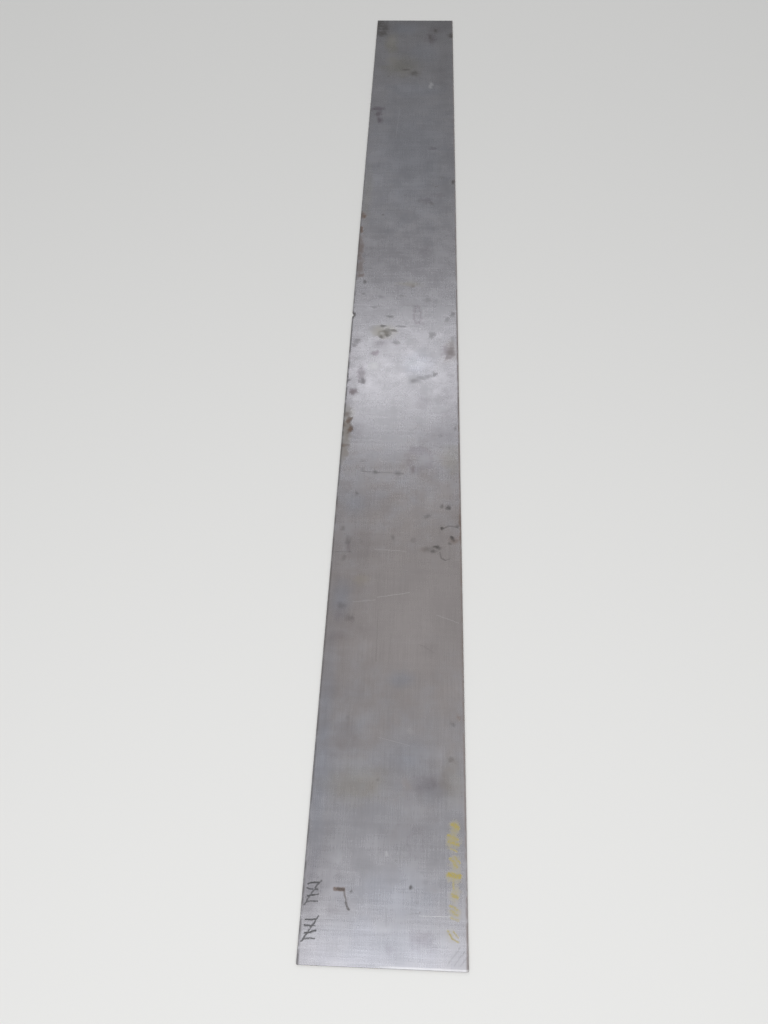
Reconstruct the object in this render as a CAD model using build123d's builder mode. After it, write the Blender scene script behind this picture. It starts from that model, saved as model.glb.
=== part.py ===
from build123d import *
import os

# Long steel plate, sheared as one strip from mill-finish sheet and lying flat.
# Millimetres, +Z up. The origin is the middle of the underside, +Y runs along the plate,
# and +X runs across it.

# Stock size
length = 3000.0
width = 274.0
thickness = 4.0

# Corners in plan, dressed with a file after cutting
corner_radius = 2.0

# Section of a sheared edge, from the upper face down: the edge that the blade drew over,
# an upright burnished land, and the lower part where the steel broke away under the land
rollover_radius = 0.8
break_height = 1.8
break_lean = 0.25

# Nick in the left long edge: one shallow bite with a round bottom
nick_length = 15.0
nick_depth = 4.0
nick_from_near_end = 1464.0
nick_radius = ((nick_length / 2) ** 2 + nick_depth**2) / (2 * nick_depth)

# Plan centre of the nick's round bottom, which lies outside the edge
nick_x = nick_depth - nick_radius - width / 2
nick_y = nick_from_near_end - length / 2

with BuildPart() as steel_plate:
    # Blank, with its corners dressed
    with BuildSketch() as outline:
        Rectangle(width, length)
        fillet(outline.vertices(), radius=corner_radius)
    extrude(amount=thickness)

    # Sheared edge all the way round: the break below, the rollover above
    underside = steel_plate.faces().sort_by(Axis.Z).first
    chamfer(underside.edges(), length=break_lean, length2=break_height, reference=underside)
    upper_face = steel_plate.faces().sort_by(Axis.Z).last
    fillet(upper_face.edges(), radius=rollover_radius)

    # Nick, through the whole thickness
    with BuildSketch() as bite:
        with Locations((nick_x, nick_y)):
            Circle(nick_radius)
    extrude(amount=thickness, mode=Mode.SUBTRACT)

steel_plate.part.label = "steel_plate"

os.makedirs("parts", exist_ok=True)
export_step(steel_plate.part, "parts/steel_plate.step")
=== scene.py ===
import math

import bpy
from mathutils import Matrix, Vector


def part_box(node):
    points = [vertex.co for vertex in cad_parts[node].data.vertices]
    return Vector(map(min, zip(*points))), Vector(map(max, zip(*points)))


# A long steel plate, sheared from mill-finish sheet, lying flat on a pale floor.
# Metres. +Y runs along the plate, away from the marked end, +X across it and +Z up.

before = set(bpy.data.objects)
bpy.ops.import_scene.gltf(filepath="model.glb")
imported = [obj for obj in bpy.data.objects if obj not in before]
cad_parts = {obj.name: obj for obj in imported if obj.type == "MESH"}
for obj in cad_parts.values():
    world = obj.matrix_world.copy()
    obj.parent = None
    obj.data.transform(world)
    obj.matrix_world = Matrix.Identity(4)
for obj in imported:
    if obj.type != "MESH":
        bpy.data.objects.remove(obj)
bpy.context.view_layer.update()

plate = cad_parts["steel_plate"]
plate_low, plate_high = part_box("steel_plate")
PLATE_TOP = plate_high.z
HALF_WIDTH = plate_high.x
HALF_LENGTH = plate_high.y


# Small helpers for shader nodes

def add(tree, kind, label, inputs, **settings):
    """Adds one node: its settings, and each input either linked or set to a constant."""
    node = tree.nodes.new("ShaderNode" + kind)
    node.label = label
    for name, value in settings.items():
        setattr(node, name, value)
    for name, value in inputs.items():
        if isinstance(value, bpy.types.NodeSocket):
            tree.links.new(value, node.inputs[name])
        else:
            node.inputs[name].default_value = value
    return node


def calc(tree, label, operation, *numbers):
    """Result of one Math node."""
    return add(tree, "Math", label, dict(enumerate(numbers)), operation=operation).outputs[0]


def times(tree, label, first, *others):
    """Masks and factors multiplied together."""
    product = first
    for other in others:
        product = calc(tree, label, "MULTIPLY", product, other)
    return product


def vector_calc(tree, label, operation, *vectors):
    """Result of one Vector Math node, a value for a length or a dot product."""
    node = add(tree, "VectorMath", label, dict(enumerate(vectors)), operation=operation)
    return node.outputs["Value" if operation in ("LENGTH", "DOT_PRODUCT") else "Vector"]


def scaled(tree, label, vector, factor):
    """A vector or a colour with every part multiplied by one factor."""
    return add(tree, "VectorMath", label, {0: vector, "Scale": factor}, operation="SCALE").outputs[0]


def ramp(tree, label, value, low, high, low_out=0.0, high_out=1.0):
    """A value carried smoothly from one range to another, and held at its ends."""
    inputs = {"Value": value, "From Min": low, "From Max": high, "To Min": low_out, "To Max": high_out}
    return add(tree, "MapRange", label, inputs, interpolation_type="SMOOTHSTEP", clamp=False).outputs[0]


def noise(tree, label, position, per_metre, detail, roughness, output="Fac"):
    """Soft random patches, a number of them to the metre, as a value or as a colour."""
    inputs = {"Vector": position, "Scale": per_metre, "Detail": detail, "Roughness": roughness}
    return add(tree, "TexNoise", label, inputs).outputs[output]


def mix_colours(tree, label, mask, first, second, blend_type="MIX"):
    """The second colour over the first. A Mix node's colours are its inputs 6 and 7 and output 2."""
    inputs = {0: mask, 6: first, 7: second}
    return add(tree, "Mix", label, inputs, data_type="RGBA", blend_type=blend_type).outputs[2]


def mix_values(tree, label, mask, first, second):
    """The second value over the first. A Mix node's values are its inputs 2 and 3 and output 0."""
    return add(tree, "Mix", label, {0: mask, 2: first, 3: second}, data_type="FLOAT").outputs[0]


SOCKET_KINDS = {"value": "NodeSocketFloat", "vector": "NodeSocketVector"}


def start_group(name, takes, gives):
    """A shader group with named inputs and outputs, and the sockets that bring its inputs in."""
    tree = bpy.data.node_groups.new(name, "ShaderNodeTree")
    for socket, kind in takes.items():
        tree.interface.new_socket(socket, in_out="INPUT", socket_type=SOCKET_KINDS[kind])
    for socket, kind in gives.items():
        tree.interface.new_socket(socket, in_out="OUTPUT", socket_type=SOCKET_KINDS[kind])
    return tree, tree.nodes.new("NodeGroupInput").outputs


def end_group(tree, results):
    group_end = tree.nodes.new("NodeGroupOutput")
    for name, socket in results.items():
        tree.links.new(socket, group_end.inputs[name])
    return tree


# Camera: where the plate was looked at from, leaning over its near end

CAMERA_PLACE = Vector((0.0269, -1.544, PLATE_TOP + 1.414))
CAMERA_DOWN = math.radians(57.47)
CAMERA_LEFT = math.radians(3.65)
CAMERA_ROLL = math.radians(-1.67)
CAMERA_LENS = 27.04
SENSOR_WIDTH = 36.0
SEES_AS_FAR_AS = 100.0


def add_camera():
    camera = bpy.data.objects.new("camera", bpy.data.cameras.new("camera"))
    bpy.context.scene.collection.objects.link(camera)
    camera.data.sensor_width = SENSOR_WIDTH
    camera.data.lens = CAMERA_LENS
    camera.data.clip_end = SEES_AS_FAR_AS
    aim = Matrix.Rotation(CAMERA_LEFT, 4, "Z") @ Matrix.Rotation(math.pi / 2 - CAMERA_DOWN, 4, "X")
    camera.matrix_world = Matrix.Translation(CAMERA_PLACE) @ aim @ Matrix.Rotation(CAMERA_ROLL, 4, "Z")
    bpy.context.scene.camera = camera


# Light: a pale dome, darker low down, and two soft panels

DOME_WHITE = (1.0, 1.0, 1.0, 1.0)
DOME_BRIGHTENS_ABOVE = 0.38
DOME_LOW, DOME_OVERHEAD = 0.40, 0.80

# A panel is its name, centre, the point it faces, width, length and radiance.
PANELS = [
    ("overhead_panel", (0.0, -2.46, 3.0), (0.0, -2.46, 0.0), 3.0, 2.2, 2.4),
    ("mid_panel", (0.0, 3.2, 3.77), (0.0, -0.24, 0.0), 2.6, 0.55, 2.9),
]


def add_dome():
    world = bpy.data.worlds.new("pale_dome")
    bpy.context.scene.world = world
    world.use_nodes = True
    tree = world.node_tree
    tree.nodes.clear()
    direction = add(tree, "TexCoord", "direction", {}).outputs["Generated"]
    height = add(tree, "SeparateXYZ", "height", {0: direction}).outputs["Z"]
    glow = ramp(tree, "brighter overhead", height, DOME_BRIGHTENS_ABOVE, 1.0, DOME_LOW, DOME_OVERHEAD)
    background = add(tree, "Background", "dome", {"Color": DOME_WHITE, "Strength": glow})
    add(tree, "OutputWorld", "out", {"Surface": background.outputs[0]})


def add_panel(name, centre, aim_at, width, length, radiance):
    """A soft rectangular lamp, turned to face a point."""
    lamp = bpy.data.lights.new(name, "AREA")
    lamp.shape = "RECTANGLE"
    lamp.size = width
    lamp.size_y = length
    lamp.energy = radiance * math.pi * width * length
    panel = bpy.data.objects.new(name, lamp)
    bpy.context.scene.collection.objects.link(panel)
    centre = Vector(centre)
    facing = (Vector(aim_at) - centre).to_track_quat("-Z", "Y")
    panel.matrix_world = Matrix.Translation(centre) @ facing.to_matrix().to_4x4()


# Floor

FLOOR_SIZE = 40.0
FLOOR_PALE = (0.80, 0.80, 0.79, 1.0)


def add_floor():
    bpy.ops.object.select_all(action="DESELECT")
    bpy.ops.mesh.primitive_plane_add(size=FLOOR_SIZE, location=(0.0, 0.0, plate_low.z))
    floor = bpy.context.active_object
    floor.name = "floor"
    material = bpy.data.materials.new("pale_floor")
    material.use_nodes = True
    shader = material.node_tree.nodes["Principled BSDF"]
    shader.inputs["Base Color"].default_value = FLOOR_PALE
    shader.inputs["Roughness"].default_value = 0.9
    shader.inputs["Specular IOR Level"].default_value = 0.2
    floor.data.materials.append(material)


# Shader groups: a smudge, a tide mark, a drawn line, streaks, blotches and specks

# Smudges, tide marks and lines come by the hundred, each laid over the marks so far. Their groups
# hold only Math, Vector Math and Map Range nodes, so that Cycles has room for so large a material.
SPOT_TAKES = {"Position": "vector", "Ragged": "value", "So Far": "value", "Centre": "vector",
              "Half Size": "vector", "Softness": "value", "Depth": "value"}
LINE_TAKES = {"Position": "vector", "So Far": "value", "Middle": "vector", "Direction": "vector",
              "Half Length": "value", "Half Width": "value", "Depth": "value"}
LINE_CORE = 0.35
SPECK_SMALLEST, SPECK_LARGEST = 0.08, 0.22
SPECK_CORE = 0.03


def reach_from_centre(tree, given):
    """Distance from a spot's centre, one at its outline, which is ragged."""
    away = vector_calc(tree, "from its centre", "SUBTRACT", given["Position"], given["Centre"])
    away = vector_calc(tree, "in its own size", "DIVIDE", away, given["Half Size"])
    reach = vector_calc(tree, "reach", "LENGTH", away)
    return calc(tree, "ragged edge", "ADD", reach, given["Ragged"])


def with_marks_so_far(tree, given, shade):
    """Ends a group that adds its own mark to the ones before, where it is the deeper."""
    return end_group(tree, {"Marks": calc(tree, "deepest so far", "MAXIMUM", given["So Far"], shade)})


def make_smudge():
    """A spot with a ragged outline, full inside and fading towards it."""
    tree, given = start_group("smudge", SPOT_TAKES, {"Marks": "value"})
    reach = reach_from_centre(tree, given)
    full_at = calc(tree, "full inside", "SUBTRACT", 1.0, given["Softness"])
    shade = ramp(tree, "shade", reach, 1.0, full_at, 0.0, given["Depth"])
    return with_marks_so_far(tree, given, shade)


def make_tide_mark():
    """The outline that a drop of water leaves when it dries, its line as wide as its softness."""
    tree, given = start_group("tide_mark", SPOT_TAKES, {"Marks": "value"})
    reach = reach_from_centre(tree, given)
    past_line = calc(tree, "past the line", "SUBTRACT", reach, 1.0)
    off_line = calc(tree, "off the line", "ABSOLUTE", past_line)
    shade = ramp(tree, "shade", off_line, given["Softness"], 0.0, 0.0, given["Depth"])
    return with_marks_so_far(tree, given, shade)


def make_stroke():
    """A straight line with round ends."""
    tree, given = start_group("stroke", LINE_TAKES, {"Marks": "value"})
    away = vector_calc(tree, "from its middle", "SUBTRACT", given["Position"], given["Middle"])
    along = vector_calc(tree, "along it", "DOT_PRODUCT", away, given["Direction"])
    along = calc(tree, "no further than one end", "MINIMUM", along, given["Half Length"])
    other_end = calc(tree, "other end", "MULTIPLY", given["Half Length"], -1.0)
    along = calc(tree, "nor than the other", "MAXIMUM", along, other_end)
    nearest = scaled(tree, "nearest on it", given["Direction"], along)
    away = vector_calc(tree, "away from it", "SUBTRACT", away, nearest)
    distance = vector_calc(tree, "how far", "LENGTH", away)
    full_at = calc(tree, "full inside", "MULTIPLY", given["Half Width"], LINE_CORE)
    shade = ramp(tree, "shade", distance, given["Half Width"], full_at, 0.0, given["Depth"])
    return with_marks_so_far(tree, given, shade)


def make_streaks():
    """Noise drawn out into lines: rolling grain, wipe marks and the lines of a sheared edge."""
    takes = {"Position": "vector", "Turn": "vector", "Fineness": "vector", "From": "value", "To": "value"}
    tree, given = start_group("streaks", takes, {"Lines": "value"})
    turn = {"Vector": given["Position"], "Rotation": given["Turn"]}
    turned = add(tree, "Mapping", "turn", turn).outputs[0]
    drawn = vector_calc(tree, "draw out", "MULTIPLY", turned, given["Fineness"])
    lines = noise(tree, "lines", drawn, per_metre=1.0, detail=3.0, roughness=0.6)
    return end_group(tree, {"Lines": ramp(tree, "pick out", lines, given["From"], given["To"])})


def make_blotches():
    """Irregular patches: worn, stained or dusty areas."""
    takes = {"Position": "vector", "Per Metre": "value", "From": "value", "To": "value"}
    tree, given = start_group("blotches", takes, {"Patches": "value"})
    cloud = noise(tree, "cloud", given["Position"], given["Per Metre"], detail=4.0, roughness=0.6)
    return end_group(tree, {"Patches": ramp(tree, "pick out", cloud, given["From"], given["To"])})


def make_specks():
    """Small round specks, most cells left empty."""
    takes = {"Position": "vector", "Per Metre": "value", "Rarity": "value"}
    tree, given = start_group("specks", takes, {"Specks": "value"})
    inputs = {"Vector": given["Position"], "Scale": given["Per Metre"]}
    cells = add(tree, "TexVoronoi", "cells", inputs).outputs
    chance = vector_calc(tree, "chance", "DOT_PRODUCT", cells["Color"], (1.0, 0.0, 0.0))
    chosen = calc(tree, "chosen", "GREATER_THAN", chance, given["Rarity"])
    size = ramp(tree, "its size", chance, given["Rarity"], 1.0, SPECK_SMALLEST, SPECK_LARGEST)
    round_speck = ramp(tree, "round speck", cells["Distance"], size, SPECK_CORE)
    return end_group(tree, {"Specks": times(tree, "speck", round_speck, chosen)})


SMUDGE = make_smudge()
TIDE_MARK = make_tide_mark()
STROKE = make_stroke()
STREAKS = make_streaks()
BLOTCHES = make_blotches()
SPECKS = make_specks()


# Marks on the upper face. A spot is (across, along, half width, half length, depth).

GRIME_AND_SHADE = [
    # far end, with a dark corner on the left
    (-0.134, 1.468, 0.050, 0.100, 1.00),
    (-0.110, 1.444, 0.034, 0.088, 1.00),
    (-0.120, 1.408, 0.042, 0.044, 1.00),
    (0.076, 1.425, 0.015, 0.028, 1.00),
    (0.078, 1.428, 0.026, 0.030, 0.22),
    (0.056, 1.374, 0.013, 0.040, 0.80),
    (0.131, 1.393, 0.024, 0.036, 1.00),
    (-0.026, 1.163, 0.028, 0.016, 0.85),
    (0.003, 1.138, 0.034, 0.032, 0.85),
    (-0.082, 1.118, 0.013, 0.014, 0.60),
    # upper middle
    (0.097, 0.556, 0.010, 0.010, 0.45),
    (0.130, 0.533, 0.010, 0.016, 0.90),
    (0.082, 0.512, 0.009, 0.007, 0.60),
    (0.067, 0.430, 0.015, 0.013, 0.60),
    (0.033, 0.442, 0.011, 0.011, 0.35),
    (-0.011, 0.468, 0.009, 0.005, 0.45),
    (-0.075, 0.373, 0.007, 0.006, 0.80),
    (-0.111, 0.090, 0.008, 0.010, 0.72),
    (0.018, 0.075, 0.007, 0.006, 0.24),
    # bright stretch
    (-0.065, 0.032, 0.014, 0.007, 0.30),
    (-0.010, 0.037, 0.014, 0.009, 0.30),
    (0.060, 0.025, 0.016, 0.013, 0.25),
    (0.082, 0.020, 0.012, 0.011, 0.15),
    (-0.112, 0.045, 0.009, 0.007, 0.40),
    (-0.080, -0.004, 0.023, 0.006, 0.22),
    # Painted shade: dark at the nick in the left edge, where the nick's shade falls
    (-0.134, -0.036, 0.008, 0.015, 1.00),
    (-0.038, -0.040, 0.017, 0.008, 0.36),
    (0.123, -0.028, 0.013, 0.017, 0.38),
    (0.110, -0.048, 0.011, 0.014, 0.23),
    (-0.044, -0.097, 0.024, 0.017, 0.42),
    (-0.030, -0.092, 0.016, 0.008, 0.46),
    (-0.060, -0.113, 0.009, 0.008, 0.54),
    (-0.042, -0.107, 0.012, 0.011, 0.56),
    (-0.056, -0.077, 0.012, 0.008, 0.54),
    (-0.010, -0.076, 0.020, 0.006, 0.28),
    (-0.125, -0.143, 0.012, 0.010, 0.28),
    (-0.118, -0.130, 0.013, 0.013, 0.27),
    (-0.020, -0.134, 0.013, 0.012, 0.22),
    (0.071, -0.107, 0.012, 0.017, 0.29),
    (0.126, -0.118, 0.009, 0.018, 0.14),
    (0.117, -0.163, 0.018, 0.030, 0.12),
    (-0.132, -0.266, 0.007, 0.007, 0.38),
    (-0.106, -0.223, 0.008, 0.017, 0.14),
    (-0.102, -0.243, 0.012, 0.024, 0.12),
    (-0.098, -0.264, 0.011, 0.019, 0.35),
    (0.062, -0.245, 0.015, 0.009, 0.20),
    (0.028, -0.261, 0.019, 0.012, 0.26),
    (0.046, -0.253, 0.017, 0.009, 0.20),
    (0.075, -0.237, 0.012, 0.013, 0.30),
    (0.127, -0.408, 0.006, 0.012, 0.24),
    (0.093, -0.432, 0.007, 0.006, 0.16),
    (-0.082, -0.508, 0.012, 0.008, 0.18),
    # below the bright stretch
    (-0.082, -0.528, 0.009, 0.007, 0.25),
    (-0.054, -0.538, 0.010, 0.007, 0.50),
    (-0.004, -0.539, 0.011, 0.009, 0.46),
    (-0.093, -0.596, 0.007, 0.008, 0.58),
    (0.1105, -0.627, 0.009, 0.010, 1.00),
    (0.096, -0.625, 0.007, 0.010, 0.55),
    (0.131, -0.660, 0.008, 0.030, 0.10),
    (0.096, -0.682, 0.006, 0.006, 1.00),
    (0.129, -0.675, 0.007, 0.009, 0.52),
    (0.1195, -0.706, 0.007, 0.009, 1.00),
    (0.112, -0.718, 0.006, 0.006, 0.48),
    (0.086, -0.731, 0.013, 0.009, 1.00),
    (0.077, -0.740, 0.010, 0.007, 0.70),
    (0.067, -0.735, 0.022, 0.011, 0.40),
    (0.064, -0.654, 0.013, 0.008, 0.50),
    (-0.117, -0.685, 0.008, 0.010, 0.40),
    (-0.105, -0.720, 0.009, 0.024, 0.42),
    (-0.077, -0.720, 0.008, 0.008, 0.15),
    (-0.010, -0.709, 0.010, 0.010, 0.45),
    (0.035, -0.712, 0.008, 0.009, 0.34),
    (-0.112, -0.762, 0.007, 0.011, 0.35),
    # near half
    (-0.107, -0.872, 0.014, 0.013, 0.38),
    (-0.088, -0.899, 0.011, 0.015, 0.38),
    (-0.086, -0.895, 0.007, 0.007, 0.42),
    (-0.080, -1.097, 0.007, 0.006, 0.28),
    (0.113, -1.103, 0.007, 0.008, 0.48),
    (0.113, -1.171, 0.011, 0.010, 0.40),
    (0.069, -1.211, 0.026, 0.018, 0.10),
    (-0.022, -1.209, 0.006, 0.005, 0.42),
    (0.017, -1.343, 0.004, 0.004, 0.34),
    (0.041, -1.381, 0.005, 0.006, 1.00),
    (0.055, -1.402, 0.005, 0.004, 0.24),
    (-0.053, -1.394, 0.005, 0.005, 0.60),
    (0.067, -1.373, 0.008, 0.007, 0.16),
]

# Wide, soft stretches of the plate: darker, in part painted shade that trims the bright reflections, and
# lighter, in part a painted highlight in the bright stretch

DARK_AND_SHADED_STRETCHES = [
    (-0.160, -0.880, 0.150, 0.480, 0.27),
    (-0.150, -1.375, 0.090, 0.105, 0.62),
    (-0.150, -1.500, 0.070, 0.045, 0.30),
    (0.160, -0.520, 0.105, 0.270, 0.27),
    (0.158, -0.340, 0.105, 0.200, 0.40),
    (0.000, -0.560, 0.170, 0.085, 0.07),
    (0.000, 0.195, 0.230, 0.190, 0.22),
    (0.150, 0.820, 0.075, 0.450, 0.12),
    (0.090, 1.120, 0.045, 0.110, 0.20),
    (0.125, 1.470, 0.070, 0.060, 0.30),
    (0.040, 1.370, 0.070, 0.075, 0.12),
    (0.070, -0.960, 0.034, 0.022, 0.14),
    (-0.110, -1.220, 0.090, 0.090, 0.22),
    (0.078, -1.222, 0.055, 0.042, 0.42),
    (-0.125, 0.215, 0.085, 0.085, 0.36),
    (0.145, 0.285, 0.080, 0.055, 0.34),
    (-0.110, 0.040, 0.110, 0.055, 0.24),
    (-0.145, -0.220, 0.055, 0.150, 0.40),
    (-0.080, -0.600, 0.120, 0.080, 0.24),
    (0.140, -0.650, 0.070, 0.060, 0.16),
    (-0.090, -0.840, 0.055, 0.085, 0.20),
    (0.125, -0.125, 0.050, 0.060, 0.20),
    (-0.090, -0.722, 0.105, 0.085, 0.30),
    (0.062, -0.525, 0.065, 0.048, 0.34),
    (-0.122, -0.125, 0.032, 0.045, 0.36),
    (-0.055, -0.138, 0.030, 0.024, 0.60),
    (0.010, 0.075, 0.140, 0.040, 0.18),
    (0.030, -1.300, 0.065, 0.035, 0.28),
    (-0.112, -1.300, 0.050, 0.040, 0.20),
    (0.110, -0.430, 0.085, 0.060, 0.40),
    (0.048, -0.325, 0.038, 0.036, 0.42),
    (-0.128, -0.335, 0.028, 0.040, 0.40),
    (-0.110, -0.425, 0.032, 0.048, 0.46),
    (0.120, -0.610, 0.042, 0.040, 0.28),
    (-0.088, -1.372, 0.034, 0.032, 0.26),
    (-0.088, -1.421, 0.019, 0.015, 0.44),
    (-0.078, 0.172, 0.042, 0.036, 0.40),
    (-0.083, -1.125, 0.036, 0.052, 0.36),
]

LIGHT_AND_HIGHLIT_STRETCHES = [
    # In part painted highlight: the first two brighten the reflection across the middle of the plate
    (-0.058, -0.330, 0.078, 0.145, 0.90),
    (-0.035, -0.226, 0.110, 0.060, 1.00),
    (-0.084, -0.130, 0.024, 0.028, 0.90),
    (0.000, 0.285, 0.080, 0.040, 0.40),
    (-0.032, -1.456, 0.032, 0.030, 0.60),
    (0.045, -0.900, 0.100, 0.200, 0.50),
    (-0.110, 0.600, 0.110, 0.300, 0.85),
    (-0.020, 1.440, 0.060, 0.060, 0.90),
    (0.060, 1.270, 0.060, 0.100, 0.45),
    (0.005, -1.378, 0.060, 0.050, 0.90),
]

# Patches of purple-grey oxide

DULL_FILM = [
    (-0.110, 0.921, 0.030, 0.022, 1.00),
    (-0.109, 0.893, 0.016, 0.024, 1.00),
    (-0.103, 0.855, 0.017, 0.028, 1.00),
    (0.078, 1.432, 0.046, 0.040, 0.45),
    (0.060, 1.372, 0.030, 0.058, 0.70),
    (0.068, 0.702, 0.018, 0.012, 0.62),
    (0.052, 0.442, 0.030, 0.020, 0.50),
    (-0.102, -0.244, 0.016, 0.042, 0.50),
    (0.081, 0.468, 0.034, 0.018, 0.30),
    (0.047, 0.221, 0.032, 0.024, 0.20),
    (0.040, -0.064, 0.014, 0.007, 0.25),
    (-0.070, -0.172, 0.017, 0.011, 0.85),
    (0.114, -0.164, 0.028, 0.042, 0.70),
    (0.033, -0.034, 0.012, 0.034, 0.16),
    (-0.119, -0.301, 0.016, 0.017, 0.90),
    (0.044, -0.482, 0.032, 0.020, 0.34),
    (0.030, -0.530, 0.007, 0.018, 0.42),
    (-0.102, -0.735, 0.008, 0.020, 0.42),
    (-0.112, -0.885, 0.016, 0.034, 0.22),
    (-0.090, -0.903, 0.013, 0.017, 0.25),
    (-0.110, -0.936, 0.026, 0.018, 0.24),
    (0.066, -1.212, 0.036, 0.022, 0.36),
    (0.034, -1.242, 0.014, 0.026, 0.16),
    (0.062, -1.459, 0.030, 0.019, 0.36),
    (0.011, -1.472, 0.010, 0.011, 0.24),
]

# Oxide tints, browner and bluer. The blue across the marked end is a painted cool reflection of the light
# overhead.

BROWNED = [
    (-0.060, -1.216, 0.082, 0.052, 0.56),
    (0.115, -1.210, 0.030, 0.060, 0.40),
    (-0.070, -0.812, 0.026, 0.017, 0.40),
    (0.118, -0.500, 0.032, 0.070, 0.55),
    (-0.128, -0.410, 0.022, 0.090, 0.60),
    (0.118, -0.160, 0.026, 0.056, 0.40),
    (-0.052, -0.097, 0.040, 0.034, 0.95),
    (0.010, 0.085, 0.046, 0.016, 0.70),
    (-0.124, 0.460, 0.022, 0.200, 0.45),
    (-0.040, 1.185, 0.095, 0.100, 0.90),
    (-0.080, 1.330, 0.036, 0.110, 1.00),
]

BLUED_AND_COOL_LIT = [
    # Painted cool reflection: the first three make the marked end bluer where it reflects the light
    # overhead
    (-0.037, -1.450, 0.050, 0.046, 0.40),
    (0.000, -1.470, 0.180, 0.070, 0.40),
    (0.020, -1.395, 0.130, 0.060, 0.45),
    (-0.124, -1.130, 0.024, 0.300, 0.62),
    (-0.120, -1.190, 0.034, 0.090, 0.50),
    (0.016, -1.022, 0.040, 0.027, 0.85),
    (0.035, -1.165, 0.070, 0.056, 0.60),
    (-0.110, -0.856, 0.034, 0.066, 0.95),
    (-0.092, -0.625, 0.040, 0.050, 0.50),
    (0.035, -0.205, 0.055, 0.060, 0.45),
    (0.000, 0.680, 0.220, 0.520, 0.40),
    (0.030, 1.270, 0.080, 0.100, 0.40),
    (-0.030, 1.440, 0.080, 0.060, 0.60),
    (0.000, 1.030, 0.150, 0.080, 0.45),
]

# Rust, dried mud, scuffs, and the outlines of dried drops

RUST = [
    (-0.130, 0.371, 0.011, 0.024, 0.75),
    (-0.126, 0.368, 0.008, 0.015, 1.00),
    (-0.133, 0.306, 0.008, 0.024, 0.95),
    (-0.131, 0.225, 0.013, 0.095, 0.58),
    (-0.128, 0.150, 0.013, 0.056, 0.52),
    (-0.122, 0.118, 0.014, 0.013, 0.62),
    (0.006, 0.081, 0.022, 0.009, 0.15),
    (0.019, 0.075, 0.007, 0.005, 0.34),
    (0.120, -0.166, 0.018, 0.015, 0.07),
    (0.110, -0.182, 0.009, 0.013, 0.08),
    (-0.119, -0.301, 0.013, 0.015, 0.20),
    (-0.128, -0.373, 0.008, 0.013, 0.42),
    (-0.122, -0.392, 0.010, 0.014, 0.84),
    (-0.132, -0.406, 0.007, 0.010, 0.36),
    (-0.119, -0.418, 0.010, 0.020, 0.94),
    (-0.132, -0.466, 0.008, 0.009, 0.60),
    (-0.124, -0.464, 0.010, 0.009, 0.44),
    (0.030, -0.530, 0.007, 0.017, 0.22),
    (0.056, -0.735, 0.020, 0.010, 0.20),
    (0.122, -0.712, 0.016, 0.012, 0.50),
    (0.135, -0.680, 0.004, 0.055, 0.60),
    (0.127, -1.092, 0.007, 0.008, 0.50),
    (0.113, -1.173, 0.009, 0.008, 0.14),
    (0.032, -1.217, 0.010, 0.011, 0.20),
    (0.082, -1.383, 0.018, 0.009, 0.12),
]

DRIED_MUD = [
    (-0.070, -0.088, 0.024, 0.020, 0.15),
    (-0.056, -0.105, 0.021, 0.019, 0.26),
    (-0.129, -0.366, 0.013, 0.034, 0.16),
    (-0.127, -0.422, 0.016, 0.058, 0.48),
    (-0.130, -0.478, 0.013, 0.052, 0.48),
    (-0.080, 1.364, 0.018, 0.060, 0.12),
    (-0.075, 1.225, 0.030, 0.084, 0.08),
    (-0.020, 1.140, 0.060, 0.032, 0.08),
    (-0.070, -0.812, 0.024, 0.015, 0.16),
    (0.122, -0.150, 0.018, 0.036, 0.08),
]

BRIGHT_SCUFFS = [
    (0.060, 1.066, 0.013, 0.028, 0.38),
    (0.131, 0.731, 0.006, 0.009, 0.12),
    (0.038, -1.123, 0.010, 0.009, 0.07),
    (0.000, -1.332, 0.005, 0.005, 0.22),
    (0.030, -0.205, 0.038, 0.024, 0.16),
    (-0.073, -0.215, 0.020, 0.018, 0.36),
    (-0.112, -0.320, 0.010, 0.040, 0.05),
    (-0.056, -0.101, 0.007, 0.005, 0.85),
]

DRIED_DROPS = [
    (0.033, -0.034, 0.010, 0.031, 0.55),
    (0.044, -0.498, 0.027, 0.030, 0.30),
    (0.050, -1.312, 0.013, 0.020, 0.14),
]

# Drawn lines: across and along at the start, across and along at the end, width and depth

# The rust hook is a short bar with a bent leg, darker at its core and down the leg.
RUST_HOOK = [
    (-0.0830, -1.3885, -0.0690, -1.3890, 0.0096, 0.84),
    (-0.0675, -1.3910, -0.0655, -1.3990, 0.0066, 0.30),
    (-0.0655, -1.3990, -0.0635, -1.4090, 0.0056, 0.16),
    (-0.0635, -1.4090, -0.0580, -1.4185, 0.0060, 0.20),
]

DARK_LEG = [
    (-0.0790, -1.3880, -0.0685, -1.3890, 0.0062, 0.58),
    (-0.0685, -1.3895, -0.0655, -1.3990, 0.0046, 0.38),
    (-0.0655, -1.3990, -0.0635, -1.4090, 0.0044, 0.44),
    (-0.0635, -1.4090, -0.0580, -1.4185, 0.0052, 0.66),
]

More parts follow.
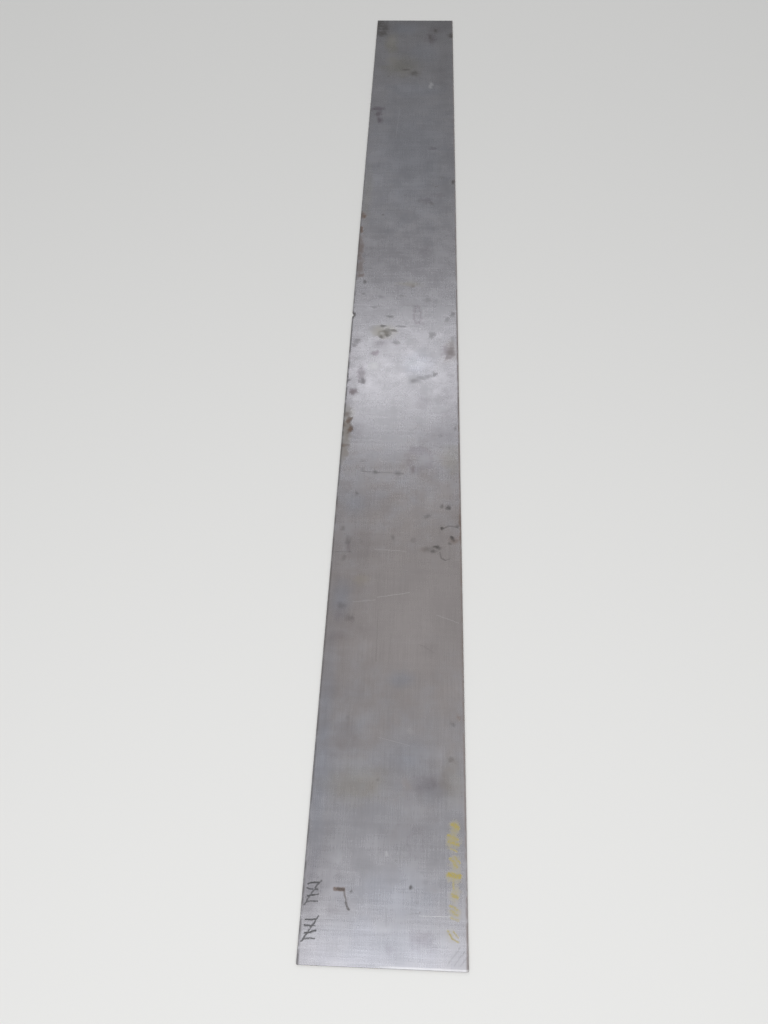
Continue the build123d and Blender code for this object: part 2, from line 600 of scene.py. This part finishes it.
DARK_SCRATCHES = [
    (0.099, -0.682, 0.110, -0.676, 0.0056, 0.50),
    (0.110, -0.676, 0.128, -0.678, 0.0060, 0.42),
    (0.091, -0.742, 0.094, -0.755, 0.0050, 0.44),
    (0.094, -0.755, 0.102, -0.760, 0.0052, 0.50),
    (0.102, -0.760, 0.112, -0.756, 0.0046, 0.36),
    (-0.130, -0.746, -0.095, -0.746, 0.0028, 0.36),
    (-0.033, -0.877, -0.033, -0.987, 0.0020, 0.26),
    (0.050, -0.950, 0.064, -0.956, 0.0042, 0.16),
    (0.064, -0.956, 0.080, -0.967, 0.0042, 0.14),
    (0.003, -1.415, 0.004, -1.441, 0.0030, 0.14),
    (0.105, -1.489, 0.124, -1.466, 0.0022, 0.16),
    (0.114, -1.492, 0.131, -1.471, 0.0020, 0.18),
    (0.124, -1.492, 0.135, -1.479, 0.0020, 0.16),
    (-0.085, -0.537, 0.010, -0.540, 0.0026, 0.44),
    (0.034, -1.424, 0.058, -1.420, 0.0022, 0.12),
]

PALE_SCRATCHES = [
    (-0.036, -0.850, 0.028, -0.838, 0.0024, 0.20),
    (-0.084, -0.862, -0.040, -0.856, 0.0024, 0.16),
    (-0.046, -0.738, 0.020, -0.741, 0.0022, 0.18),
    (0.085, -0.886, 0.128, -0.902, 0.0024, 0.16),
    (0.058, -1.424, 0.108, -1.423, 0.0018, 0.34),
    (-0.020, -1.135, 0.036, -1.148, 0.0020, 0.10),
    (0.058, -0.430, 0.064, -0.300, 0.0016, 0.18),
    (-0.048, 0.760, -0.040, 0.930, 0.0020, 0.14),
]

# Hand marks: tally strokes in black marker on the left, and ticks in yellow crayon on the right

TALLY_STARTS = (-1.381, -1.435)
TALLY_PITCH = 0.0092
TALLY_LEFT, TALLY_RIGHT = -0.129, -0.111
# A tally bar is (lean, depth).
TALLY_BARS = [(0.0010, 0.90), (-0.0006, 0.78), (0.0014, 0.86), (0.0002, 0.70)]
STRIKE_DEPTH = 0.74
STRIKE_PAST_LEFT, STRIKE_PAST_RIGHT, STRIKE_PAST_BARS = 0.003, 0.004, 0.005
MARKER_WIDTH = 0.0037


def tally_strokes():
    """Two groups of short leaning bars, each group struck through by a slanting one."""
    strokes = []
    for start in TALLY_STARTS:
        for number, (lean, depth) in enumerate(TALLY_BARS):
            along = start - number * TALLY_PITCH
            bar = (TALLY_LEFT + lean, along - lean, TALLY_RIGHT + lean, along + lean)
            strokes.append((*bar, MARKER_WIDTH, depth))
        end = start - (len(TALLY_BARS) - 1) * TALLY_PITCH
        strike = (TALLY_LEFT - STRIKE_PAST_LEFT, end - STRIKE_PAST_BARS,
                  TALLY_RIGHT + STRIKE_PAST_RIGHT, start + STRIKE_PAST_BARS)
        strokes.append((*strike, MARKER_WIDTH, STRIKE_DEPTH))
    return strokes


CRAYON_TICKS = [
    (0.113, -1.281, 0.122, -1.286, 0.0118, 0.90),
    (0.106, -1.299, 0.121, -1.305, 0.0078, 0.78),
    (0.107, -1.309, 0.122, -1.314, 0.0076, 0.82),
    (0.110, -1.320, 0.119, -1.324, 0.0062, 0.56),
    (0.109, -1.336, 0.120, -1.349, 0.0064, 0.70),
    (0.117, -1.333, 0.124, -1.342, 0.0062, 0.70),
    (0.107, -1.360, 0.124, -1.363, 0.0118, 0.95),
    (0.114, -1.368, 0.114, -1.381, 0.0058, 0.58),
    (0.112, -1.391, 0.120, -1.395, 0.0084, 0.72),
    (0.108, -1.407, 0.120, -1.412, 0.0062, 0.56),
    (0.109, -1.415, 0.121, -1.420, 0.0058, 0.56),
    (0.110, -1.424, 0.121, -1.428, 0.0052, 0.46),
    (0.104, -1.443, 0.112, -1.455, 0.0042, 0.62),
    (0.112, -1.455, 0.121, -1.459, 0.0042, 0.56),
    (0.113, -1.444, 0.120, -1.452, 0.0038, 0.56),
]

CRAYON_DUST = [
    (0.116, -1.286, 0.015, 0.018, 0.44),
    (0.114, -1.306, 0.016, 0.021, 0.46),
    (0.116, -1.342, 0.014, 0.020, 0.34),
    (0.116, -1.362, 0.016, 0.014, 0.42),
    (0.116, -1.390, 0.012, 0.020, 0.30),
    (0.115, -1.416, 0.012, 0.017, 0.26),
    (0.112, -1.450, 0.013, 0.013, 0.10),
]


def spots(tree, label, face, marks, softness, shape=SMUDGE, outline="ragged"):
    """Mask of a list of spots on the upper face."""
    so_far = 0.0
    for across, along, half_width, half_length, depth in marks:
        inputs = {"Position": face["shaken"], "Ragged": face[outline], "So Far": so_far,
                  "Centre": (across, along, 0.0), "Half Size": (half_width, half_length, 1.0),
                  "Softness": softness, "Depth": depth}
        so_far = add(tree, "Group", label, inputs, node_tree=shape).outputs["Marks"]
    return times(tree, label, so_far, face["upper"])


def lines(tree, label, face, marks, hand):
    """Mask of a list of drawn lines on the upper face."""
    so_far = 0.0
    for start_across, start_along, end_across, end_along, width, depth in marks:
        start, end = Vector((start_across, start_along, 0.0)), Vector((end_across, end_along, 0.0))
        inputs = {"Position": face[hand], "So Far": so_far, "Middle": (start + end) / 2,
                  "Direction": (end - start).normalized(), "Half Length": (end - start).length / 2,
                  "Half Width": width / 2, "Depth": depth}
        so_far = add(tree, "Group", label, inputs, node_tree=STROKE).outputs["Marks"]
    return times(tree, label, so_far, face["upper"])


def streaks(tree, label, position, across, along, upright=1.0, turn=0.0, low=0.3, high=0.7):
    """Fine lines, a number of them to the metre across, along and up, turned by some degrees."""
    inputs = {"Position": position, "Turn": (0.0, 0.0, math.radians(turn)),
              "Fineness": (across, along, upright), "From": low, "To": high}
    return add(tree, "Group", label, inputs, node_tree=STREAKS).outputs["Lines"]


def blotches(tree, label, position, per_metre, low, high):
    inputs = {"Position": position, "Per Metre": per_metre, "From": low, "To": high}
    return add(tree, "Group", label, inputs, node_tree=BLOTCHES).outputs["Patches"]


def specks(tree, label, position, per_metre, rarity):
    inputs = {"Position": position, "Per Metre": per_metre, "Rarity": rarity}
    return add(tree, "Group", label, inputs, node_tree=SPECKS).outputs["Specks"]


def shaken(tree, label, position, per_metre, reach):
    """Positions pushed about at random, so that what is drawn on them has an uneven outline."""
    push = noise(tree, label, position, per_metre, detail=3.0, roughness=0.6, output="Color")
    push = vector_calc(tree, label, "SUBTRACT", push, (0.5, 0.5, 0.5))
    return vector_calc(tree, label, "MULTIPLY_ADD", push, (reach, reach, 0.0), position)


# Steel, its tints and its gloss

STEEL = (0.304, 0.300, 0.321, 1.0)
WARM_TINT = (1.00, 0.936, 0.872, 1.0)
BROWN_TINT = (0.990, 0.974, 0.862, 1.0)
BLUE_TINT = (0.90, 0.956, 1.03, 1.0)
DARK_AND_SHADE_TINT = (0.66, 0.64, 0.65, 1.0)
FILM_TINT = (0.66, 0.605, 0.635, 1.0)
LIGHT_AND_HIGHLIGHT_TINT = (1.12, 1.12, 1.12, 1.0)
STEEL_ROUGHNESS = 0.240
GLOSS_SWING = 0.24
WIPE_GLOSS = 0.020
GRAIN_GLOSS = 0.035

# What lies on the steel or shows in its cuts. Grime black and rust brown also paint shade: along the long
# edges and at the nick in the left edge.

BRIGHT_STEEL = (0.61, 0.61, 0.62, 1.0)
GRIME_AND_SHADE_BLACK = (0.045, 0.040, 0.038, 1.0)
RUST_AND_SHADE_BROWN = (0.130, 0.083, 0.060, 1.0)
MUD_TAN = (0.252, 0.220, 0.184, 1.0)
MARKER_BLACK = (0.030, 0.030, 0.033, 1.0)
CRAYON_YELLOW = (0.385, 0.310, 0.052, 1.0)
LAND_STEEL = (0.46, 0.46, 0.47, 1.0)
BREAK_STEEL = (0.230, 0.218, 0.208, 1.0)
BREAK_SHADE = (0.090, 0.080, 0.074, 1.0)
EDGE_RUST = (0.170, 0.082, 0.042, 1.0)

# How strongly each of these shows where it is full
HAIRLINES_SHOW = 0.16
SPECKS_SHOW = 0.40
LEFT_RIM_SHOWS = 0.55
RIGHT_RIM_SHOWS = 0.46
BURR_AND_HIGHLIGHT_SHOWS = 0.34
TOOL_LINES_SHOW = 0.6
DUST_SHOWS = 0.35
DAMP_STAINS_SHOW = 0.55
CRAYON_LEAST, CRAYON_GRAIN = 0.5, 0.6
GRIT_LEAST = 0.45

# How far outlines stray, as a share of a spot's size, and how edge rust keeps off the land
RAGGED_SWING = 1.5
CLOUDY_SWING = 1.0
EDGE_RUST_SWING = 0.8

# Places: the faces, the warm stretch, the painted shade towards the far end and the edges
UPPER_FROM, UPPER_FULL = PLATE_TOP - 0.0008, PLATE_TOP - 0.0002
UNDER_FROM, UNDER_FULL = plate_low.z + 0.00015, plate_low.z + 0.00005
WARM_CENTRE = (0.05, -0.86, 0.0)
WARM_HALF_SIZE = (0.46, 0.47, 1.0)
WARM_SOFTNESS = 0.8
FAR_SHADE_FROM, FAR_SHADE_FULL, FAR_SHADE_TONE = 1.02, 1.17, 0.90
FARTHEST_SHADE_FROM, FARTHEST_SHADE_FULL, FARTHEST_SHADE_TONE = 1.31, 1.48, 0.86
RIM_FROM = HALF_WIDTH - 0.0055
RIM_FULL = HALF_WIDTH - 0.0015
BRIGHT_END_FROM = -HALF_LENGTH + 0.0042
BRIGHT_END_FULL = -HALF_LENGTH + 0.0026
BRIGHT_END_STARTS_ACROSS, BRIGHT_END_FULL_ACROSS = -0.02, 0.02
SHEAR_BREAK = plate_low.z + 0.0018
LAND_FROM, LAND_FULL = SHEAR_BREAK - 0.0003, SHEAR_BREAK + 0.0002

# Heights of the relief
BUCKLES = 0.0009
DIMPLES = 0.00010
WIPE_RIDGES = 0.000032
GRAIN_RIDGES = 0.0000015
DEPOSIT_CRUST = 0.00022
TOOL_RIDGES = 0.00002
TORN_BREAK = 0.00012


def centred(tree, label, value, swing):
    """A factor that swings about one as its value swings about a half."""
    return calc(tree, label, "MULTIPLY_ADD", value, swing, 1.0 - swing / 2)


def tint(tree, surface, label, mask, colour):
    """Stains a surface that still shows through."""
    surface["colour"] = mix_colours(tree, label, mask, surface["colour"], colour, "MULTIPLY")


def lay(tree, surface, label, mask, colour, roughness, metallic):
    """Covers a surface with another finish where its mask says."""
    surface["colour"] = mix_colours(tree, label, mask, surface["colour"], colour)
    surface["roughness"] = mix_values(tree, label, mask, surface["roughness"], roughness)
    surface["metallic"] = mix_values(tree, label, mask, surface["metallic"], metallic)


def lift(tree, surface, label, value, height):
    """Adds to the relief."""
    surface["height"] = calc(tree, label, "MULTIPLY_ADD", value, height, surface["height"])


def bare_steel(tree, face):
    """Mill finish: clouds and mottling, rolling grain along the plate and wipe marks across it."""
    plan = face["plan"]
    cloud = noise(tree, "broad clouds", plan, per_metre=3.5, detail=3.0, roughness=0.55)
    patches = noise(tree, "patches", plan, per_metre=15.0, detail=1.0, roughness=0.5)
    mottle = noise(tree, "mottling", plan, per_metre=12.0, detail=5.0, roughness=0.72)
    gloss = noise(tree, "patchy gloss", plan, per_metre=15.0, detail=4.0, roughness=0.62)
    rolled = streaks(tree, "rolling streaks", plan, across=42.0, along=1.1)
    grain = streaks(tree, "rolling grain", plan, across=900.0, along=14.0)
    wipes = streaks(tree, "wipe marks", plan, across=6.0, along=85.0)
    hairlines = streaks(tree, "hairlines", plan, across=900.0, along=18.0, turn=21.0,
                        low=0.66, high=0.74)
    crossing = streaks(tree, "crossing lines", plan, across=1100.0, along=22.0, turn=-62.0,
                       low=0.67, high=0.75)
    hairlines = calc(tree, "all hairlines", "MAXIMUM", hairlines, crossing)

    # Painted shade: the steel is made darker towards the far end, in two steps
    far_shade = ramp(tree, "shade towards the far end", face["along"], FAR_SHADE_FROM, FAR_SHADE_FULL, 1.0, FAR_SHADE_TONE)
    farthest_shade = ramp(tree, "deeper shade at the far end", face["along"], FARTHEST_SHADE_FROM, FARTHEST_SHADE_FULL, 1.0, FARTHEST_SHADE_TONE)
    tone = times(tree, "painted far end shade", far_shade, farthest_shade)
    swings = (("clouds", cloud, 0.24), ("patches", patches, 0.08), ("mottling", mottle, 0.23),
              ("rolling streaks", rolled, 0.035), ("grain", grain, 0.085), ("wipes", wipes, 0.02))
    for label, pattern, swing in swings:
        tone = times(tree, label, tone, centred(tree, label, pattern, swing))
    colour = scaled(tree, "steel colour", STEEL[:3], tone)

    least = STEEL_ROUGHNESS - GLOSS_SWING / 2
    roughness = calc(tree, "patchy gloss", "MULTIPLY_ADD", gloss, GLOSS_SWING, least)
    roughness = calc(tree, "wipe gloss", "MULTIPLY_ADD", wipes, WIPE_GLOSS, roughness)
    roughness = calc(tree, "grain gloss", "MULTIPLY_ADD", grain, GRAIN_GLOSS, roughness)
    surface = {"colour": colour, "roughness": roughness, "metallic": 1.0, "height": 0.0}
    hairlines = times(tree, "hairlines", hairlines, HAIRLINES_SHOW)
    lay(tree, surface, "hairlines", hairlines, BRIGHT_STEEL, roughness=0.40, metallic=1.0)
    buckles = noise(tree, "buckles", plan, per_metre=7.0, detail=2.0, roughness=0.5)
    dimples = noise(tree, "dimples", plan, per_metre=26.0, detail=2.0, roughness=0.5)
    lift(tree, surface, "buckles", buckles, BUCKLES)
    lift(tree, surface, "dimples", dimples, DIMPLES)
    lift(tree, surface, "wipe ridges", wipes, WIPE_RIDGES)
    lift(tree, surface, "grain ridges", grain, GRAIN_RIDGES)
    return surface


def stain_steel(tree, face, surface):
    """Thin stains: warm oxide on every face, and on the upper one browned and blued oxide, with a painted
    cool reflection in the blue at the marked end, darker stretches that are in part painted shade,
    lighter stretches that are in part a painted highlight, dull film and dried drops."""
    inputs = {"Position": face["shaken"], "Ragged": face["cloudy"], "So Far": 0.0, "Centre": WARM_CENTRE,
              "Half Size": WARM_HALF_SIZE, "Softness": WARM_SOFTNESS, "Depth": 1.0}
    warm = add(tree, "Group", "warm oxide", inputs, node_tree=SMUDGE).outputs["Marks"]
    tint(tree, surface, "warm oxide", warm, WARM_TINT)
    stains = (("browned", BROWNED, BROWN_TINT), ("blued and cool lit", BLUED_AND_COOL_LIT, BLUE_TINT),
              ("darker stretches and painted shade", DARK_AND_SHADED_STRETCHES, DARK_AND_SHADE_TINT), ("lighter stretches and painted highlight", LIGHT_AND_HIGHLIT_STRETCHES, LIGHT_AND_HIGHLIGHT_TINT))
    for label, marks, colour in stains:
        mask = spots(tree, label, face, marks, softness=0.9, outline="cloudy")
        tint(tree, surface, label, mask, colour)
    film = spots(tree, "dull film", face, DULL_FILM, softness=0.8)
    tint(tree, surface, "dull film", film, FILM_TINT)
    drops = spots(tree, "dried drops", face, DRIED_DROPS, softness=0.42, shape=TIDE_MARK)
    tint(tree, surface, "dried drops", drops, FILM_TINT)


def soil_steel(tree, face, surface):
    """Scuffs, dried mud, rust and grime on the upper face, and painted shade at the nick in the left
    edge.
    """
    scuffs = spots(tree, "scuffs", face, BRIGHT_SCUFFS, softness=0.85)
    lay(tree, surface, "scuffs", scuffs, BRIGHT_STEEL, roughness=0.38, metallic=0.9)
    mud = times(tree, "gritty mud", spots(tree, "dried mud", face, DRIED_MUD, softness=0.7), face["grit"])
    lay(tree, surface, "dried mud", mud, MUD_TAN, roughness=0.75, metallic=0.1)
    rust = times(tree, "gritty rust", spots(tree, "rust", face, RUST, softness=0.8), face["grit"])
    lay(tree, surface, "rust", rust, RUST_AND_SHADE_BROWN, roughness=0.80, metallic=0.0)
    crust = calc(tree, "crust", "MAXIMUM", mud, rust)
    lift(tree, surface, "crust", crust, DEPOSIT_CRUST)
    grime_and_shade = times(tree, "gritty grime", spots(tree, "grime_and_shade", face, GRIME_AND_SHADE, softness=0.92), face["grit"])
    lay(tree, surface, "grime_and_shade", grime_and_shade, GRIME_AND_SHADE_BLACK, roughness=0.55, metallic=0.1)
    small_rust = specks(tree, "rust specks", face["plan"], per_metre=120.0, rarity=0.986)
    small_rust = times(tree, "rust specks", small_rust, face["upper"], SPECKS_SHOW)
    lay(tree, surface, "rust specks", small_rust, RUST_AND_SHADE_BROWN, roughness=0.80, metallic=0.0)


def draw_on_steel(tree, face, surface):
    """Scratches, the rust hook, and hand marks in marker and crayon."""
    drawings = (("pale scratches", PALE_SCRATCHES, BRIGHT_STEEL, "steady"),
                ("dark scratches", DARK_SCRATCHES, GRIME_AND_SHADE_BLACK, "steady"),
                ("rust hook", RUST_HOOK, RUST_AND_SHADE_BROWN, "unsteady"),
                ("dark leg", DARK_LEG, GRIME_AND_SHADE_BLACK, "unsteady"))
    for label, marks, colour, hand in drawings:
        drawn = times(tree, label, lines(tree, label, face, marks, hand), face["grit"])
        lay(tree, surface, label, drawn, colour, roughness=0.60, metallic=0.2)
    marker = lines(tree, "marker", face, tally_strokes(), "unsteady")
    worn = blotches(tree, "worn marker", face["plan"], per_metre=260.0, low=0.26, high=0.46)
    marker = times(tree, "worn marker", marker, worn)
    lay(tree, surface, "marker", marker, MARKER_BLACK, roughness=0.45, metallic=0.0)
    crayon = lines(tree, "crayon", face, CRAYON_TICKS, "unsteady")
    waxy = blotches(tree, "waxy gaps", face["plan"], per_metre=420.0, low=0.32, high=0.54)
    crayon = times(tree, "waxy crayon", crayon, waxy)
    dust = spots(tree, "crayon dust", face, CRAYON_DUST, softness=0.9)
    crayon = calc(tree, "all crayon", "MAXIMUM", crayon, dust)
    waxy_grain = calc(tree, "waxy grain", "MULTIPLY_ADD", waxy, CRAYON_GRAIN, CRAYON_LEAST)
    crayon = times(tree, "grainy crayon", crayon, waxy_grain)
    lay(tree, surface, "crayon", crayon, CRAYON_YELLOW, roughness=0.60, metallic=0.0)


def shade_and_soil_rims(tree, face, surface):
    """Painted contact shade with some dirt along the long edges, dirt-black on the left and rust-brown on
    the right, and a bright line at the marked end that is part burr, part painted highlight.
    """
    broken = blotches(tree, "broken line", face["plan"], per_metre=40.0, low=0.28, high=0.58)
    # Painted shade: a dark line along each long edge where the plate meets the floor, with some dirt in
    # it
    left = ramp(tree, "left rim", face["across"], -RIM_FROM, -RIM_FULL)
    left = times(tree, "left rim", left, broken, LEFT_RIM_SHOWS, face["upper"])
    lay(tree, surface, "left rim", left, GRIME_AND_SHADE_BLACK, roughness=0.6, metallic=0.1)
    right = ramp(tree, "right rim", face["across"], RIM_FROM, RIM_FULL)
    right = times(tree, "right rim", right, broken, RIGHT_RIM_SHOWS, face["upper"])
    lay(tree, surface, "right rim", right, RUST_AND_SHADE_BROWN, roughness=0.7, metallic=0.0)
    # Part burr, part painted highlight: a bright line along the right half of the marked end, where its
    # edge catches the light
    burr_and_highlight = ramp(tree, "burr_and_highlight", face["along"], BRIGHT_END_FROM, BRIGHT_END_FULL)
    right_half = ramp(tree, "right half", face["across"], BRIGHT_END_STARTS_ACROSS, BRIGHT_END_FULL_ACROSS)
    burr_and_highlight = times(tree, "burr_and_highlight", burr_and_highlight, right_half, BURR_AND_HIGHLIGHT_SHOWS, face["upper"])
    lay(tree, surface, "burr_and_highlight", burr_and_highlight, BRIGHT_STEEL, roughness=0.35, metallic=1.0)


def finish_cut_edges(tree, face, surface):
    """Sheared sides: a burnished land above a torn, rusty break."""
    run = calc(tree, "along the edge", "ADD", face["across"], face["along"])
    edge = add(tree, "CombineXYZ", "on the edge", {"X": run, "Z": face["up"]}).outputs[0]
    tool_lines = streaks(tree, "tool lines", edge, across=1800.0, along=1.0, upright=160.0)
    torn = noise(tree, "torn", edge, per_metre=700.0, detail=3.0, roughness=0.6)
    rusty = blotches(tree, "edge rust", edge, per_metre=60.0, low=0.46, high=0.62)

    land = ramp(tree, "land", face["up"], LAND_FROM, LAND_FULL)
    scored = times(tree, "tool lines", tool_lines, TOOL_LINES_SHOW)
    land_colour = mix_colours(tree, "tool lines", scored, LAND_STEEL, BREAK_STEEL)
    land_side = times(tree, "land", face["side"], land)
    lay(tree, surface, "land", land_side, land_colour, roughness=0.30, metallic=1.0)

    torn_off = calc(tree, "break", "SUBTRACT", 1.0, land)
    torn_off = times(tree, "break", torn_off, face["side"])
    crumbled = ramp(tree, "torn", torn, low=0.35, high=0.65)
    break_colour = mix_colours(tree, "torn", crumbled, BREAK_SHADE, BREAK_STEEL)
    lay(tree, surface, "break", torn_off, break_colour, roughness=0.55, metallic=0.9)

    less_on_land = centred(tree, "less on the land", torn_off, EDGE_RUST_SWING)
    rusty = times(tree, "edge rust", rusty, face["side"], less_on_land)
    lay(tree, surface, "edge rust", rusty, EDGE_RUST, roughness=0.80, metallic=0.0)
    lift(tree, surface, "tool lines", times(tree, "tool lines", tool_lines, face["side"]), TOOL_RIDGES)
    lift(tree, surface, "torn break", times(tree, "torn", torn, torn_off), TORN_BREAK)


def finish_underside(tree, face, surface):
    """Mill finish with dust and a few rust stains from lying on damp concrete."""
    dusty = blotches(tree, "dust", face["plan"], per_metre=3.0, low=0.35, high=0.75)
    dusty = times(tree, "dust", dusty, face["under"], DUST_SHOWS)
    lay(tree, surface, "dust", dusty, MUD_TAN, roughness=0.75, metallic=0.1)
    stained = blotches(tree, "damp stains", face["plan"], per_metre=8.0, low=0.56, high=0.70)
    stained = times(tree, "damp stains", stained, face["under"], DAMP_STAINS_SHOW)
    lay(tree, surface, "damp stains", stained, EDGE_RUST, roughness=0.80, metallic=0.0)


def places(tree):
    """Positions on the plate, plain and uneven, and masks of its faces."""
    position = add(tree, "TexCoord", "position", {}).outputs["Object"]
    parts = add(tree, "SeparateXYZ", "parts", {0: position}).outputs
    plan = vector_calc(tree, "seen from above", "MULTIPLY", position, (1.0, 1.0, 0.0))
    upper = ramp(tree, "upper face", parts["Z"], UPPER_FROM, UPPER_FULL)
    under = ramp(tree, "underside", parts["Z"], UNDER_FROM, UNDER_FULL)
    not_upper = calc(tree, "not the upper face", "SUBTRACT", 1.0, upper)
    not_under = calc(tree, "not the underside", "SUBTRACT", 1.0, under)
    ragged = noise(tree, "ragged outlines", plan, per_metre=95.0, detail=4.0, roughness=0.65)
    cloudy = noise(tree, "cloudy outlines", plan, per_metre=24.0, detail=3.0, roughness=0.55)
    grit = noise(tree, "grit", plan, per_metre=520.0, detail=3.0, roughness=0.65)
    return {
        "plan": plan, "across": parts["X"], "along": parts["Y"], "up": parts["Z"],
        "upper": upper, "under": under, "side": times(tree, "cut sides", not_upper, not_under),
        "shaken": shaken(tree, "uneven outlines", plan, per_metre=32.0, reach=0.018),
        "unsteady": shaken(tree, "unsteady hand", plan, per_metre=110.0, reach=0.0060),
        "steady": shaken(tree, "steady hand", plan, per_metre=60.0, reach=0.0024),
        "ragged": calc(tree, "ragged outlines", "MULTIPLY_ADD", ragged, RAGGED_SWING, -RAGGED_SWING / 2),
        "cloudy": calc(tree, "cloudy outlines", "MULTIPLY_ADD", cloudy, CLOUDY_SWING, -CLOUDY_SWING / 2),
        "grit": ramp(tree, "grit", grit, low=0.32, high=0.54, low_out=GRIT_LEAST),
    }


def mill_steel():
    material = bpy.data.materials.new("mill_steel")
    material.use_nodes = True
    tree = material.node_tree
    tree.nodes.clear()
    face = places(tree)
    surface = bare_steel(tree, face)
    stain_steel(tree, face, surface)
    soil_steel(tree, face, surface)
    draw_on_steel(tree, face, surface)
    shade_and_soil_rims(tree, face, surface)
    finish_cut_edges(tree, face, surface)
    finish_underside(tree, face, surface)
    relief = add(tree, "Bump", "relief", {"Height": surface["height"], "Distance": 1.0})
    inputs = {"Base Color": surface["colour"], "Metallic": surface["metallic"],
              "Roughness": surface["roughness"], "Normal": relief.outputs["Normal"]}
    steel_shader = add(tree, "BsdfPrincipled", "steel", inputs)
    add(tree, "OutputMaterial", "out", {"Surface": steel_shader.outputs[0]})
    return material


add_camera()
add_dome()
for panel in PANELS:
    add_panel(*panel)
add_floor()

plate.data.materials.clear()
plate.data.materials.append(mill_steel())

bpy.context.scene.view_settings.view_transform = "Standard"
